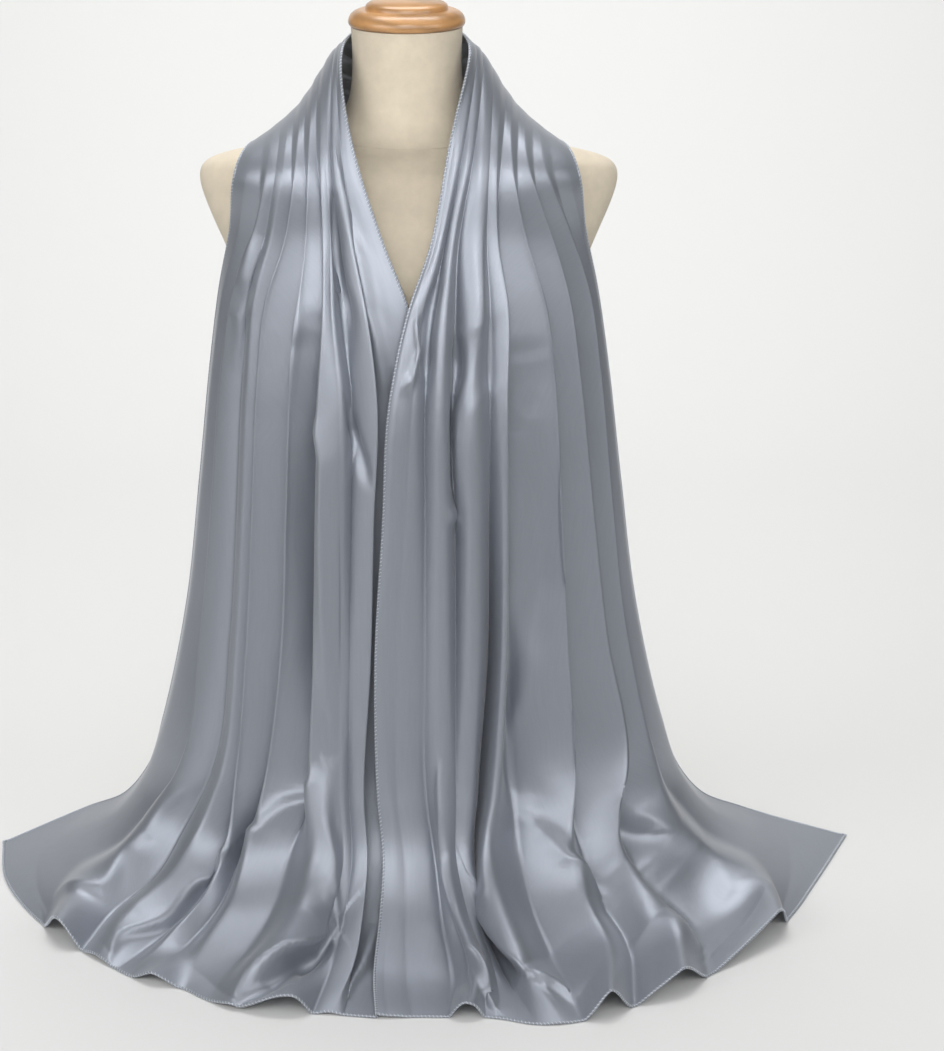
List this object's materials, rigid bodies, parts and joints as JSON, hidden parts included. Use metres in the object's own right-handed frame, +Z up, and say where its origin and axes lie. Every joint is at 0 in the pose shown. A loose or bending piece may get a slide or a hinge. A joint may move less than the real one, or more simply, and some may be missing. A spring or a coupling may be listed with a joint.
{
  "type": "evening stole on dress form",
  "caption": "Long satin stole draped round the neck of a limbless dress form, its two ends falling in folds and spreading on the surface.",
  "frame": {"origin": "under the middle of the form's neck, on the flat underside of the form, which stands on the surface", "axes": "+Z up, -Y to the front of the form, where the two ends of the stole hang, +X to the right as seen from the front"},
  "size_m": [0.7899, 0.4457, 0.7928],
  "materials": {
    "satin": "smooth satin with a soft broad sheen",
    "form_cover": "plain closely woven cover, matt",
    "cap_wood": "turned and clear varnished"
  },
  "bodies": {
    "root": {"stole_neck": "satin", "stole_left_fall": "satin", "stole_right_fall": "satin", "stole_left_train": "satin", "stole_right_train": "satin", "form_body": "form_cover", "form_neck": "form_cover", "form_cap": "cap_wood"}
  },
  "joints": []
}
